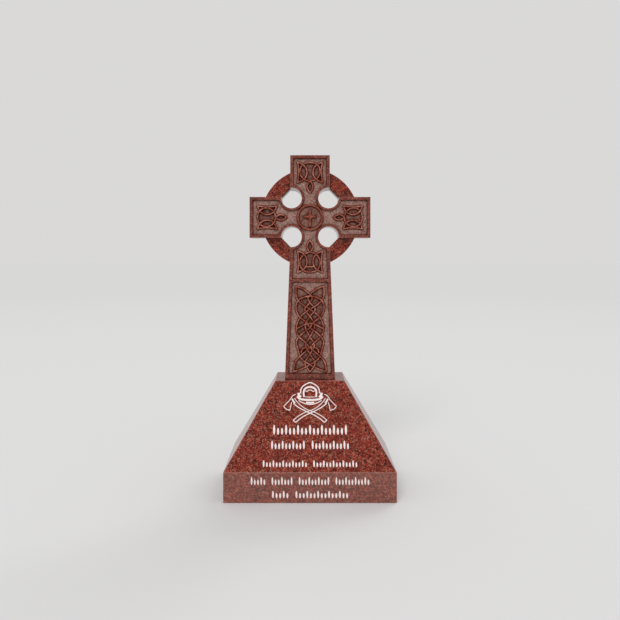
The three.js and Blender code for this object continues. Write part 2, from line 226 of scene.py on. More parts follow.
def join(stone, *tools):
    for tool in tools:
        combine(stone, tool, "UNION")


def cut(stone, *tools):
    for tool in tools:
        combine(stone, tool, "DIFFERENCE")


# The cross's body


def stem_half(height):
    """Half the stem's width at a height above the ground."""
    top = HEAD_CENTRE - ARM_HALF
    fall = (top - height) / (top - BASE_HEIGHT)
    return STEM_HALF_AT_ARMS + fall * (STEM_HALF_AT_FOOT - STEM_HALF_AT_ARMS)


def cross_outline(foot, arm_border, stem_border):
    """The cross's outline, drawn inward by the given borders, from the foot height up."""
    arm_top = HEAD_CENTRE + ARM_HALF - arm_border
    arm_bottom = HEAD_CENTRE - ARM_HALF + arm_border
    reach = ARM_REACH - arm_border
    top_half = TOP_ARM_HALF - arm_border
    shoulder = stem_half(arm_bottom) - stem_border
    foot_half = stem_half(foot) - stem_border
    right = [
        (foot_half, foot),
        (shoulder, arm_bottom),
        (reach, arm_bottom),
        (reach, arm_top),
        (top_half, arm_top),
        (top_half, CROSS_TOP - arm_border),
    ]
    return right + [(-u, v) for u, v in reversed(right)]


def circle(u, v, radius, segments):
    turns = [2 * math.pi * i / segments for i in range(segments)]
    return [(u + radius * math.cos(a), v + radius * math.sin(a)) for a in turns]


def hole_outline(sideways, upward, grow):
    """Three quarters of a circle, closed towards the wheel by a straight chord."""
    start = math.acos((TOP_ARM_HALF - HOLE_ACROSS) / HOLE_RADIUS)
    end = 2 * math.pi + math.asin((ARM_HALF - HOLE_UP) / HOLE_RADIUS)
    radius = HOLE_RADIUS + grow
    outline = []
    for i in range(HOLE_STEPS + 1):
        angle = start + (end - start) * i / HOLE_STEPS
        u = sideways * (HOLE_ACROSS + radius * math.cos(angle))
        v = HEAD_CENTRE + upward * (HOLE_UP + radius * math.sin(angle))
        outline.append((u, v))
    return outline


def eased(name, outline_at, front, face_finish):
    """A polished solid, the same front and back, whose edges are cut off at 45 degrees."""
    layers = [
        (-front, outline_at(ARRIS)),
        (ARRIS - front, outline_at(0)),
        (front - ARRIS, outline_at(0)),
        (front, outline_at(ARRIS)),
    ]
    # The cut-off edges are lighter: a painted highlight
    return loft(name, layers, face_finish, [EDGE_HIGHLIGHT, POLISHED, EDGE_HIGHLIGHT])


def hole_cutter(sideways, upward, front):
    """Cuts one hole, and eases its edge where it meets the faces at front and -front."""
    reach = front + ARRIS
    layers = [
        (-reach, hole_outline(sideways, upward, 2 * ARRIS)),
        (ARRIS - front, hole_outline(sideways, upward, 0)),
        (front - ARRIS, hole_outline(sideways, upward, 0)),
        (reach, hole_outline(sideways, upward, 2 * ARRIS)),
    ]
    # The eased edge is lighter: a painted highlight
    return loft("hole", layers, POLISHED, [EDGE_HIGHLIGHT, POLISHED, EDGE_HIGHLIGHT])


def cross_body():
    body = eased(
        "cross_stone",
        lambda inset: cross_outline(CROSS_FOOT, inset, inset),
        FRONT,
        FACED,
    )
    wheel = eased(
        "wheel",
        lambda inset: circle(0, HEAD_CENTRE, WHEEL_RADIUS - inset, WHEEL_SEGMENTS),
        WHEEL_FRONT,
        POLISHED,
    )
    for sideways, upward in QUARTERS:
        cut(body, hole_cutter(sideways, upward, FRONT))
        cut(wheel, hole_cutter(sideways, upward, WHEEL_FRONT))
    join(body, wheel)
    return body


def panel_cutters():
    """What is cut away to sink the head's panel and the stem's. The walls lean out a little."""
    high = FRONT + OVERCUT
    lean = PANEL_DRAFT / 2
    # The panels' walls, also those round the hole rims, are darker: painted shade
    head = loft(
        "head_panel",
        [
            (PANEL_FLOOR, cross_outline(DIVIDER_TOP + lean, ARM_BORDER + lean, STEM_BORDER + lean)),
            (high, cross_outline(DIVIDER_TOP - lean, ARM_BORDER - lean, STEM_BORDER - lean)),
        ],
        FROSTED,
        [SHADED_FLANK],
    )
    for sideways, upward in QUARTERS:
        u = sideways * HOLE_ACROSS
        v = HEAD_CENTRE + upward * HOLE_UP
        radius = HOLE_RADIUS + HOLE_RIM
        layers = [
            (PANEL_FLOOR - SPARE, circle(u, v, radius + lean, RIM_SEGMENTS)),
            (high + SPARE, circle(u, v, radius - lean, RIM_SEGMENTS)),
        ]
        cut(head, loft("rim", layers, SHADED_FLANK, [SHADED_FLANK]))

    def stem_outline(inset):
        low = FOOT_BORDER_TOP + inset
        top = DIVIDER_BOTTOM - inset
        low_half = stem_half(low) - STEM_BORDER - inset
        top_half = stem_half(top) - STEM_BORDER - inset
        return [(-low_half, low), (low_half, low), (top_half, top), (-top_half, top)]

    layers = [(PANEL_FLOOR, stem_outline(lean)), (high, stem_outline(-lean))]
    return head, loft("stem_panel", layers, FROSTED, [SHADED_FLANK])


# Carved strands


def smooth_line(points):
    """A centripetal Catmull-Rom line through 2D points, as points about LINE_STEP apart."""
    knots = [Vector(p) for p in points]
    knots.insert(0, 2 * knots[0] - knots[1])
    knots.append(2 * knots[-1] - knots[-2])
    line = [knots[1]]
    for p0, p1, p2, p3 in zip(knots, knots[1:], knots[2:], knots[3:]):
        t1 = math.sqrt((p1 - p0).length)
        t2 = t1 + math.sqrt((p2 - p1).length)
        t3 = t2 + math.sqrt((p3 - p2).length)
        steps = max(LEAST_STEPS, round((p2 - p1).length / LINE_STEP))
        for i in range(1, steps + 1):
            t = t1 + (t2 - t1) * i / steps
            a1 = p0.lerp(p1, t / t1)
            a2 = p1.lerp(p2, (t - t1) / (t2 - t1))
            a3 = p2.lerp(p3, (t - t2) / (t3 - t2))
            b1 = a1.lerp(a2, t / t2)
            b2 = a2.lerp(a3, (t - t1) / (t3 - t1))
            line.append(b1.lerp(b2, (t - t1) / (t2 - t1)))
    return line


def placed(points, placement):
    """Points moved by a 3 by 3 placement in the u, v plane."""
    return [(placement @ Vector((u, v, 1))).to_2d() for u, v in points]


class Strand:
    """A smooth line on the front of the cross, and the places where it crosses others."""

    def __init__(self, points, placement=Matrix.Identity(3)):
        self.line = smooth_line(placed(points, placement))
        self.reach = [0]
        for a, b in zip(self.line, self.line[1:]):
            self.reach.append(self.reach[-1] + (b - a).length)
        self.length = self.reach[-1]
        self.crossings = []

    def at(self, distance):
        """The point at a distance along the line, and its direction."""
        distance = min(max(distance, 0), self.length)
        beyond = (n for n, reach in enumerate(self.reach[1:]) if reach >= distance)
        i = next(beyond, len(self.line) - 2)
        a, b = self.line[i], self.line[i + 1]
        share = (distance - self.reach[i]) / (self.reach[i + 1] - self.reach[i])
        before = self.line[max(i - 1, 0)]
        after = self.line[min(i + 2, len(self.line) - 1)]
        along = (b - before).normalized().lerp((after - a).normalized(), share)
        return a.lerp(b, share), along.normalized()

    def height_share(self, distance):
        """How high the strand stands: it dips where it passes under another."""
        share = 1
        for place, crossing in self.crossings:
            if crossing["over"] is not self:
                near = max(0, 1 - abs(distance - place) / DIP_REACH)
                share = min(share, 1 - DIP_DEPTH * near * near * (3 - 2 * near))
        return share


def find_crossings(first, second):
    """Every place where two strands cross, as a distance along each."""
    found = []
    for i, (a, b) in enumerate(zip(first.line, first.line[1:])):
        for j, (c, d) in enumerate(zip(second.line, second.line[1:])):
            if abs(a.x - c.x) + abs(a.y - c.y) > CROSSING_REACH:
                continue
            r = b - a
            s = d - c
            denominator = r.x * s.y - r.y * s.x
            if abs(denominator) < PARALLEL_BELOW:
                continue
            gap = c - a
            t = (gap.x * s.y - gap.y * s.x) / denominator
            q = (gap.x * r.y - gap.y * r.x) / denominator
            if 0 <= t < 1 and 0 <= q < 1:
                found.append((first.reach[i] + t * r.length, second.reach[j] + q * s.length))
    return found


def weave(strands):
    """Lets each strand pass over and under the others by turns."""
    for i, first in enumerate(strands):
        for second in strands[i + 1:]:
            for here, there in find_crossings(first, second):
                inside = END_CLEARANCE < here < first.length - END_CLEARANCE
                if inside and END_CLEARANCE < there < second.length - END_CLEARANCE:
                    crossing = {"pair": (first, second), "over": None}
                    first.crossings.append((here, crossing))
                    second.crossings.append((there, crossing))
    for strand in strands:
        strand.crossings.sort(key=lambda found: found[0])
        known = [i for i, (_, c) in enumerate(strand.crossings) if c["over"] is not None]
        above = True
        if known:
            # Start so that the first crossing already settled comes out the way it is
            above = (strand.crossings[known[0]][1]["over"] is strand) == (known[0] % 2 == 0)
        for _, crossing in strand.crossings:
            if crossing["over"] is None:
                first, second = crossing["pair"]
                other = first if second is strand else second
                crossing["over"] = strand if above else other
            above = crossing["over"] is not strand


def sweep(name, stations, section, floor, side_finishes, placement=UPRIGHT):
    """A bar along (point, direction, width share, height share) stations, with a section of
    (across, height) corners and a finish for each of the section's sides. Only heights above
    zero take the height share."""
    count = len(section)
    points = []
    for point, along, width, height in stations:
        for across, lift in section:
            u = point.x + along.y * across * width
            v = point.y - along.x * across * width
            points.append((u, v, floor + (lift * height if lift > 0 else lift)))
    faces = [list(range(count)), list(range(len(points) - count, len(points)))]
    for s in range(len(stations) - 1):
        faces += ring_faces(s * count, (s + 1) * count, count)
    finishes = side_finishes[:1] * 2 + side_finishes * (len(stations) - 1)
    return closed_piece(name, points, faces, finishes, placement)


def strand_section(foot, crest, crest_facets):
    """A ridge with a rounded crest and flanks darker as painted shade: its corners, and a finish
    for each side. The crest has its middle facet and crest_facets more to either side."""
    left = [(-foot / 2 * across, STRAND_HEIGHT * height) for across, height in STRAND_SIDE]
    right = [(-across, height) for across, height in reversed(left)]
    corners = [(foot / 2, -STRAND_ROOT), (-foot / 2, -STRAND_ROOT)] + left + right
    flank = [SHADED_FLANK] * (len(STRAND_SIDE) - crest_facets)
    return corners, [SHADED_FLANK] + flank + [crest] * (2 * crest_facets + 1) + flank


def ridge(strand):
    count = max(LEAST_STEPS, round(strand.length / STRAND_STEP))
    stations = []
    for i in range(count + 1):
        distance = strand.length * i / count
        point, along = strand.at(distance)
        stations.append((point, along, 1, strand.height_share(distance)))
    # The strand's crest is lighter, a painted highlight, and its flanks darker, painted shade
    corners, side_finishes = strand_section(STRAND_FOOT, LIT_CREST, 1)
    return sweep("strand", stations, corners, PANEL_FLOOR, side_finishes)


# One arm's knot, with u across the arm and v outward, seen from the middle of the knot.
# The strand runs up one side of a drop, crosses itself and goes half way round a ring.
DROP_AND_RING = [
    (0, -96), (-9, -84), (-14, -69), (-9, -54), (0, -45), (22, -38),
    (40, -22), (47, 0), (41, 23), (24, 38), (-1, 43),
]
CRESCENT_INNER = [(-59, 44), (-33, 33), (-18, 15), (-14, -3), (-18, -22), (-33, -39), (-58, -49)]
CRESCENT_OUTER = [(-58, 46), (-53.5, 22), (-52.5, -3), (-54, -28), (-58, -52)]
LOWER_ARM_BAR = [(-21, 19), (21, 19)]

# The outline of the ground inside the knot, from its outer end to its inner one
ARM_GROUND = [
    (0, 43), (-30, 36), (-59, 44), (-56, 20), (-52.5, -3), (-54, -26), (-58, -50),
    (-22, -38), (-2, -46), (-9, -54), (-14, -69), (-9, -84), (0, -96),
]

# Each arm's turn about the head, its knot's distance from the middle of the head, how much the
# knot is stretched across the arm and outward to fit, and what only that arm has
ARM_KNOTS = {
    "top": (0, 210, 1, 1, []),
    "left": (math.pi / 2, 200, 0.92, 0.96, []),
    "right": (-math.pi / 2, 200, 0.92, 0.96, []),
    "lower": (math.pi, 207, 1, 1.06, [LOWER_ARM_BAR]),
}

# The stem's knot, with heights above the ground. Each line has a mirror image, and the arches
# tie the two sides together.
OUTER_STRAND = [
    (-64, 943), (-65, 914), (-60, 886), (-36, 860), (0, 838), (42, 804), (61, 765), (56, 718),
    (23, 687), (0, 661), (-45, 622), (-66, 598), (-73, 575), (-75, 550),
]
ARCHED_STRAND = [
    (1, 898), (-24, 894), (-55, 877), (-65, 844), (-50, 804), (-14, 775), (0, 753),
    (36, 725), (63, 690), (56, 657), (42, 614), (0, 582), (-56, 556), (-77, 551),
]
INNER_STRAND = [
    (-67, 944), (-37, 934), (0, 906), (10, 889), (0, 868), (-24, 837), (0, 804), (22, 763),
    (0, 710), (-20, 674), (0, 631), (23, 590), (1, 549),
]
UPPER_ARCH = [(-60, 748), (-26, 766), (0, 772), (26, 766), (60, 748)]
LOWER_ARCH = [(-41, 638), (-34, 656), (0, 663), (34, 656), (41, 638)]
STEM_GROUND = [
    (0, 906), (-37, 933), (-66, 944), (-64, 914), (-57, 880), (-65, 844), (-52, 808), (-61, 765),
    (-55, 722), (-63, 690), (-52, 640), (-45, 622), (-66, 598), (-73, 575), (-76, 551),
    (-56, 556), (-14, 575), (0, 550),
]


def with_mirror_images(lines):
    return lines + [[(-u, v) for u, v in line] for line in lines]


def sunk_ground(outline):
    """Sinks the ground inside an outline a little deeper than the panel around it."""
    layers = [(PANEL_FLOOR - KNOT_DEPTH, outline), (PANEL_FLOOR + SPARE, outline)]
    # The sunk ground is darker than the panel: painted shade in the knots' cells and the boss
    return loft("ground", layers, SUNKEN_SHADE, [SUNKEN_SHADE])


def knot_ground(half_outline, placement=Matrix.Identity(3)):
    middle = half_outline[1:-1]
    outline = half_outline + [(-u, v) for u, v in reversed(middle)]
    return sunk_ground(placed(outline, placement))


def arm_knot(turn, radius, across, outward, extra):
    placement = (
        Matrix.Translation((0, HEAD_CENTRE, 0))
        @ Matrix.Rotation(turn, 4, "Z")
        @ Matrix.Translation((0, radius, 0))
        @ Matrix.Diagonal((across, outward, 1, 1))
    )
    flat = Matrix((
        (placement[0][0], placement[0][1], placement[0][3]),
        (placement[1][0], placement[1][1], placement[1][3]),
        (0, 0, 1),
    ))
    lines = with_mirror_images([DROP_AND_RING, CRESCENT_INNER, CRESCENT_OUTER]) + extra
    return knot_ground(ARM_GROUND, flat), [Strand(points, flat) for points in lines]


def stem_knot():
    lines = with_mirror_images([OUTER_STRAND, ARCHED_STRAND, INNER_STRAND])
    strands = [Strand(points) for points in lines + [UPPER_ARCH, LOWER_ARCH]]
    return knot_ground(STEM_GROUND), strands


# The boss


def boss_ring():
    """A rounded ring: the strand's section turned about the middle of the head."""
    # The ring's flanks are darker than its top: painted shade
    section, side_finishes = strand_section(BOSS_BAND, BOSS_TOP, 2)
    count = len(section)
    points = []
    faces = []
    for s in range(BOSS_SEGMENTS):
        turn = 2 * math.pi * s / BOSS_SEGMENTS
        for across, height in section:
            radius = BOSS_RADIUS + across
            u = radius * math.cos(turn)
            v = HEAD_CENTRE + radius * math.sin(turn)
            points.append((u, v, PANEL_FLOOR + height))
        faces += ring_faces(s * count, (s + 1) % BOSS_SEGMENTS * count, count)
    return closed_piece("boss", points, faces, side_finishes * BOSS_SEGMENTS)


def little_cross_outline(inset):
    """The small cross inside the boss, with its four inner corners curved out."""
    half = LITTLE_CROSS_STROKE / 2 - inset
    flare = LITTLE_CROSS_STROKE / 2 + LITTLE_CROSS_FLARE
    top = LITTLE_CROSS_UP - LITTLE_CROSS_BAR - inset
    foot = -LITTLE_CROSS_DOWN - LITTLE_CROSS_BAR + inset
    reach = LITTLE_CROSS_REACH - inset
    curve = []
    for i in range(FLARE_STEPS + 1):
        t = i / FLARE_STEPS
        u = half * (1 - t * t) + flare * t * t
        v = flare * (1 - t) ** 2 + half * (1 - (1 - t) ** 2)
        curve.append((u, v))
    upper_right = [(half, top)] + curve + [(reach, half)]
    lower_right = [(reach, -half)] + [(u, -v) for u, v in reversed(curve)] + [(half, foot)]
    right = upper_right + lower_right
    outline = right + [(-u, v) for u, v in reversed(right)]
    return [(u, HEAD_CENTRE + LITTLE_CROSS_BAR + v) for u, v in outline]


def little_cross():
    shoulder = LITTLE_CROSS_HEIGHT * SHOULDER_SHARE
    layers = [
        (PANEL_FLOOR - STRAND_ROOT, little_cross_outline(0)),
        (PANEL_FLOOR + shoulder, little_cross_outline(SHOULDER_INSET)),
        (PANEL_FLOOR + LITTLE_CROSS_HEIGHT, little_cross_outline(TOP_INSET)),
    ]
    # The little cross's lower sides are darker than its top: painted shade
    return loft("little_cross", layers, BOSS_TOP, [SHADED_FLANK, BOSS_TOP])


def make_cross():
    stone = cross_body()
    cut(stone, *panel_cutters())
    knots = [arm_knot(*values) for values in ARM_KNOTS.values()] + [stem_knot()]
    for ground, strands in knots:
        weave(strands)
        cut(stone, ground)
        join(stone, *[ridge(strand) for strand in strands])
    cut(stone, sunk_ground(circle(0, HEAD_CENTRE, BOSS_RADIUS, BOSS_SEGMENTS)))
    join(stone, boss_ring(), little_cross())
    stone.data.shade_smooth()
    stone.data.set_sharp_from_angle(angle=SMOOTH_BELOW)
    return stone


# The base

# The inscription's place: rows of plain cut strokes, standing side by side in groups. Each row
# is its middle's height above the ground, the strokes' height, the row's width and its groups.
STROKE_ROWS = [
    (308, 44, 338, [19]),
    (246, 38, 352, [10, 11]),
    (170, 30, 422, [14, 14]),
    (97.5, 36, 526, [5, 7, 10, 11]),
    (38.5, 34, 341, [5, 15]),
]

# The emblem, a helmet over two crossed axes, is drawn in cut lines. Each line is its width and
# its points, with distances up the slope measured from the shoulder line. Only the left half of
# the helmet is given, and only one of the axes.
HELMET_LINES = [
    (6.5, [(-43, 338), (-41, 356), (-31, 371), (-15, 381), (0, 386)]),
    (10, [(-27, 322), (-29, 340), (-27, 352), (-18, 362), (0, 367)]),
    (4.5, [(-22, 350), (-13, 347), (-7, 352), (0, 353)]),
    (4, [(-22, 323), (-9, 322.5), (0, 322.5)]),
    (11, [(-58, 325), (-47, 315), (-25, 310.5), (0, 309.5)]),
    (5.5, [(-52, 307), (-27, 295), (0, 289.5)]),
    (10, [(-18, 299), (-8, 297.5), (0, 297)]),
]
HELMET_SIDE = (14, [(-52, 341), (-50, 331), (-42, 321)])
AXE_LINES = [
    (4.5, [(-65, 334), (-78, 328), (-89, 312), (-105, 295), (-119, 281)]),
    (4.5, [(-119, 281), (-108, 270), (-91, 264)]),
    (4.5, [(-91, 264), (-87, 283), (-82, 300)]),
    (9, [(-81, 315), (-75, 304), (-68, 295)]),
    (4.5, [
        (-71, 317), (-58, 301), (-40, 284), (-20, 271), (2, 262), (29, 252), (54, 238), (76, 221),
    ]),
    (5.5, [(-75, 294), (-53, 278), (-31, 266), (-7, 255), (20, 243), (43, 229), (64, 212)]),
    (5.5, [(76, 221), (64, 212)]),
]


def on_base_front(tilt):
    """Places flat shapes on the base's front, with v measured from the shoulder line."""
    shoulder = Matrix.Translation((0, BAND_HEIGHT, BASE_DEPTH / 2))
    return UPRIGHT @ shoulder @ Matrix.Rotation(-tilt, 4, "X")


def mark_cutter(name, stations, width, placement):
    """A shallow cut along stations, deepest along its middle."""
    section = [(-width / 2, OVERCUT), (0, -MARK_DEPTH), (width / 2, OVERCUT)]
    return sweep(name, stations, section, 0, [PAINTED] * len(section), placement)


def stroke_cutter(u, v, width, tall, placement):
    """One leaf-shaped stroke."""
    stations = []
    for i in range(STROKE_STEPS + 1):
        share = i / STROKE_STEPS
        swell = max(math.sin(math.pi * share) ** 0.5, STROKE_TIP)
        point = Vector((u, v + tall * (share - 0.5)))
        stations.append((point, Vector((0, 1)), swell, 1))
    return mark_cutter("stroke", stations, width, placement)


def groove_cutter(line, width, placement):
    stations = []
    for i, point in enumerate(line):
        before = line[max(i - 1, 0)]
        after = line[min(i + 1, len(line) - 1)]
        stations.append((point, (after - before).normalized(), 1, 1))
    return mark_cutter("groove", stations, width, placement)


def inscription_cutters():
    cutters = []
    for up, tall, width, groups in STROKE_ROWS:
        tilt = SLOPE_TILT if up > BAND_HEIGHT else 0
        placement = on_base_front(tilt)
        middle = (up - BAND_HEIGHT) / math.cos(tilt)
        pitch = width / (sum(groups) + GROUP_GAP * (len(groups) - 1))
        u = -width / 2 + pitch / 2
        for size in groups:
            for i in range(size):
                height = tall if i % TALL_EVERY == 0 else tall * SHORT_STROKE
                v = middle - (tall - height) / 2
                cutters.append(stroke_cutter(u, v, pitch * STROKE_FILL, height, placement))
                u += pitch
            u += GROUP_GAP * pitch
    return cutters


def emblem_cutters():
    placement = on_base_front(SLOPE_TILT)
    lines = [(width, half + [(-u, v) for u, v in half[-2::-1]]) for width, half in HELMET_LINES]
    for width, points in [HELMET_SIDE] + AXE_LINES:
        lines += [(width, line) for line in with_mirror_images([points])]
    return [groove_cutter(smooth_line(points), width, placement) for width, points in lines]


def make_base():
    def rectangle(width, depth, height):
        return [
            (sideways * width / 2, height, forward * depth / 2)
            for sideways, forward in QUARTERS
        ]

    points = (
        rectangle(BASE_WIDTH, BASE_DEPTH, 0)
        + rectangle(BASE_WIDTH, BASE_DEPTH, BAND_HEIGHT)
        + rectangle(BASE_TOP_WIDTH, BASE_TOP_DEPTH, BASE_HEIGHT)
    )
    faces = [(0, 1, 2, 3), (8, 9, 10, 11)] + ring_faces(0, 4, 4) + ring_faces(4, 8, 4)
    stone = closed_piece("base_stone", points, faces, POLISHED)
    shape = bmesh.new()
    shape.from_mesh(stone.data)
    for face in shape.faces:
        if abs(face.normal.z) < UPRIGHT_BELOW:
            face.material_index = HONED
    eased_edges_highlight = bmesh.ops.bevel(
        shape,
        geom=list(shape.edges),
        offset=BASE_ARRIS * MM,
        segments=1,
        affect="EDGES",
    )
    # The eased edges are lighter: a painted highlight
    for face in eased_edges_highlight["faces"]:
        face.material_index = EDGE_HIGHLIGHT
    shape.to_mesh(stone.data)
    shape.free()
    cut(stone, *inscription_cutters(), *emblem_cutters())
    return stone


# Materials

# The mix node's sockets for a factor and for colours, by number because several share a name
MIX_FACTOR, MIX_A, MIX_B = 0, 6, 7
MIX_RESULT = 2


class Nodes:
    """Short ways to add and link a material's nodes. A material's place is the frame's, in
    metres, because every object sits at the origin."""

    def __init__(self, name, glint=None):
        self.material = bpy.data.materials.new(name)
        self.material.use_nodes = True
        self.tree = self.material.node_tree
        self.shader = self.tree.nodes["Principled BSDF"]
        self.place = self.add("ShaderNodeTexCoord").outputs["Object"]
        if glint is not None:
            self.shader.inputs["Specular IOR Level"].default_value = glint

    def add(self, kind, inputs=(), **settings):
        node = self.tree.nodes.new(kind)
        for key, value in settings.items():
            setattr(node, key, value)
        for key, value in dict(inputs).items():
            self.feed(node.inputs[key], value)
        return node

    def feed(self, socket, value):
        """Links a value to a socket, or sets the socket to it if it is constant."""
        if isinstance(value, bpy.types.NodeSocket):
            self.tree.links.new(value, socket)
        else:
            socket.default_value = value

    def ramp(self, factor, stops, interpolation="LINEAR"):
        node = self.add("ShaderNodeValToRGB", {"Fac": factor})
        ramp = node.color_ramp
        ramp.interpolation = interpolation
        while len(ramp.elements) < len(stops):
            ramp.elements.new(0.5)
        for element, (position, colour) in zip(ramp.elements, stops):
            element.position = position
            element.color = (*colour, 1)
        return node.outputs["Color"]

    def above(self, value, least):
        """White where a value is at least this much, and black elsewhere."""
        return self.ramp(value, [(0.0, (0, 0, 0)), (least, (1, 1, 1))], "CONSTANT")

    def noise(self, scale, detail, **more):
        inputs = {"Vector": self.place, "Scale": scale, "Detail": detail, **more}
        return self.add("ShaderNodeTexNoise", inputs)

    def cells(self, place, scale):
        """Three values that differ from one cell of stone to the next."""
        cells = self.add("ShaderNodeTexVoronoi", {"Vector": place, "Scale": scale})
        return self.add("ShaderNodeSeparateColor", {"Color": cells.outputs["Color"]}).outputs

    def mix(self, factor, a, b, blend="MIX"):
        inputs = {MIX_FACTOR: factor, MIX_A: a, MIX_B: b}
        node = self.add("ShaderNodeMix", inputs, data_type="RGBA", blend_type=blend)
        return node.outputs[MIX_RESULT]

    def vector_math(self, operation, inputs):
        return self.add("ShaderNodeVectorMath", inputs, operation=operation).outputs

    def rough(self, grain, least, most):
        """A roughness that differs from grain to grain."""
        inputs = {"Value": grain, "To Min": least, "To Max": most}
        return self.add("ShaderNodeMapRange", inputs).outputs[0]

    def finish(self, colour, roughness, height=None, bump=None):
        """The material, with its bump given as a strength and a depth in metres."""
        self.feed(self.shader.inputs["Base Color"], colour)
        self.feed(self.shader.inputs["Roughness"], roughness)
        if height is not None:
            strength, depth = bump
            inputs = {"Height": height, "Strength": strength, "Distance": depth}
            normal = self.add("ShaderNodeBump", inputs).outputs["Normal"]
            self.feed(self.shader.inputs["Normal"], normal)
        return self.material


def srgb(red, green, blue):
    """A colour given as 0 to 255 display values, as the linear values that shaders take."""
    values = [channel / 255 for channel in (red, green, blue)]
    return tuple(v / 12.92 if v < 0.04045 else ((v + 0.055) / 1.055) ** 2.4 for v in values)


# The stone's minerals: the share of crystals from which each colour starts. Scales are in turns
# to the metre, and a noise has its scale and its detail.
CRYSTALS = [
    (0.0, srgb(72, 21, 15)),
    (0.12, srgb(104, 32, 21)),
    (0.4, srgb(126, 42, 29)),
    (0.7, srgb(142, 60, 42)),
    (0.9, srgb(132, 82, 64)),
]
CRYSTAL_SCALE = 145
WARP_NOISE = (260, 2.0)
WARP_REACH = 0.004

# Small specks, each with the share of cells that stay clear of it
SPECK_SCALE = 320
DARK_SPECK = (0.88, srgb(50, 17, 14))
PALE_SPECK = (0.92, srgb(166, 110, 90))
CLOUD_NOISE = (32, 4.0)
CLOUDS = [(0.3, (0.74, 0.68, 0.66)), (0.7, (1.24, 1.24, 1.24))]

# Dull grains on honed and carved stone: the noise's values where their tint is darkest and
# lightest, and those two tints
GRAIN_NOISE = (120, 5.0)
GRAIN_ROUGHNESS = 0.75
GRAIN_TURNS = (0.36, 0.64)
HONED_GRAINS = ((0.66, 0.54, 0.52), (1.34, 1.44, 1.46))
CARVED_GRAINS = ((0.44, 0.4, 0.39), (1.56, 1.58, 1.58))

# The wash over carved stone wanders between two tints, reached at these values of its noise
WASH_NOISE = (30, 2.0)
WASH_TURNS = (0.38, 0.62)

# Gloss: the specular level, the roughness and the bump's strength and depth in metres
POLISH_GLINT = 0.2
CARVED_GLINT = 0.15
POLISH_ROUGHNESS = (0.1, 0.2)
HONED_ROUGHNESS = (0.34, 0.46)
HONED_BUMP = (0.1, 0.2 * MM)
CARVED_BUMP = (0.6, MM)

# How far a finish's painted shade reaches into tight corners, in metres, and down to which tint
POLISH_CORNER_SHADE = (0.015, (0.75, 0.66, 0.66))
NARROW_SHADE = (0.01, (0.5, 0.36, 0.32))
PANEL_EDGE_SHADE = (0.02, (0.45, 0.28, 0.25))
DEEP_RED_SHADE = (0.03, (0.3, 0.07, 0.04))

# How open a place is where that tint, a weaker shade and no shade are reached
CREVICE_DEEPEST = 0.4
CREVICE_OUTER = [(0.78, (0.86, 0.84, 0.83)), (0.98, (1, 1, 1))]
CREVICE_SAMPLES = 8

# Whitening in the cut strokes
WEAR_NOISE = (380, 3.0)
WEAR = [(0.3, srgb(205, 186, 182)), (0.45, srgb(238, 226, 224))]
PAINT_ROUGHNESS = 0.7
PAINT_BUMP = (0.2, 0.4 * MM)


def granite_colour(nodes):
    """Crystals of several reds, with specks and slow clouds. Gives the colour, and a value that
    differs from speck to speck."""
    warp = nodes.noise(*WARP_NOISE).outputs["Color"]
    centred = nodes.vector_math("SUBTRACT", {0: warp, 1: (0.5, 0.5, 0.5)})
    shift = nodes.vector_math("SCALE", {0: centred[0], "Scale": WARP_REACH})
    place = nodes.vector_math("ADD", {0: nodes.place, 1: shift[0]})[0]
    colour = nodes.ramp(nodes.cells(place, CRYSTAL_SCALE)[0], CRYSTALS, "CONSTANT")
    specks = nodes.cells(place, SPECK_SCALE)
    for value, (clear, tint) in zip(specks, (DARK_SPECK, PALE_SPECK)):
        colour = nodes.mix(nodes.above(value, clear), colour, (*tint, 1))
    clouds = nodes.ramp(nodes.noise(*CLOUD_NOISE).outputs["Fac"], CLOUDS)
    return nodes.mix(1.0, colour, clouds, "MULTIPLY"), specks[2]


def painted_corner_shade(nodes, colour, reach, deepest):
    """Paints shade into tight corners: darkens a colour there down to the deepest tint, and a
    little further out.
    """
    hollow = nodes.add(
        "ShaderNodeAmbientOcclusion",
        {"Distance": reach},
        samples=CREVICE_SAMPLES,
    )
    shade = nodes.ramp(hollow.outputs["AO"], [(CREVICE_DEEPEST, deepest)] + CREVICE_OUTER)
    return nodes.mix(1.0, colour, shade, "MULTIPLY")


def grainy(nodes, colour, tints):
    """Breaks a colour up into dull grains. Gives the new colour, and the grains' height."""
    pits = nodes.noise(*GRAIN_NOISE, Roughness=GRAIN_ROUGHNESS).outputs["Fac"]
    mottle = nodes.ramp(pits, list(zip(GRAIN_TURNS, tints)))
    return nodes.mix(1.0, colour, mottle, "MULTIPLY"), pits


def polished_granite(name, tint=None, share=0.0):
    nodes = Nodes(name, POLISH_GLINT)
    colour, grain = granite_colour(nodes)
    if tint:
        colour = nodes.mix(share, colour, (*srgb(*tint), 1))
    # Painted shade in the polished stone's tight corners
    colour = painted_corner_shade(nodes, colour, *POLISH_CORNER_SHADE)
    return nodes.finish(colour, nodes.rough(grain, *POLISH_ROUGHNESS))


def honed_granite(name, tint, share):
    """Granite with a dull polish, which looks paler."""
    nodes = Nodes(name)
    colour, grain = granite_colour(nodes)
    colour = nodes.mix(share, colour, (*srgb(*tint), 1))
    colour, height = grainy(nodes, colour, HONED_GRAINS)
    return nodes.finish(colour, nodes.rough(grain, *HONED_ROUGHNESS), height, HONED_BUMP)


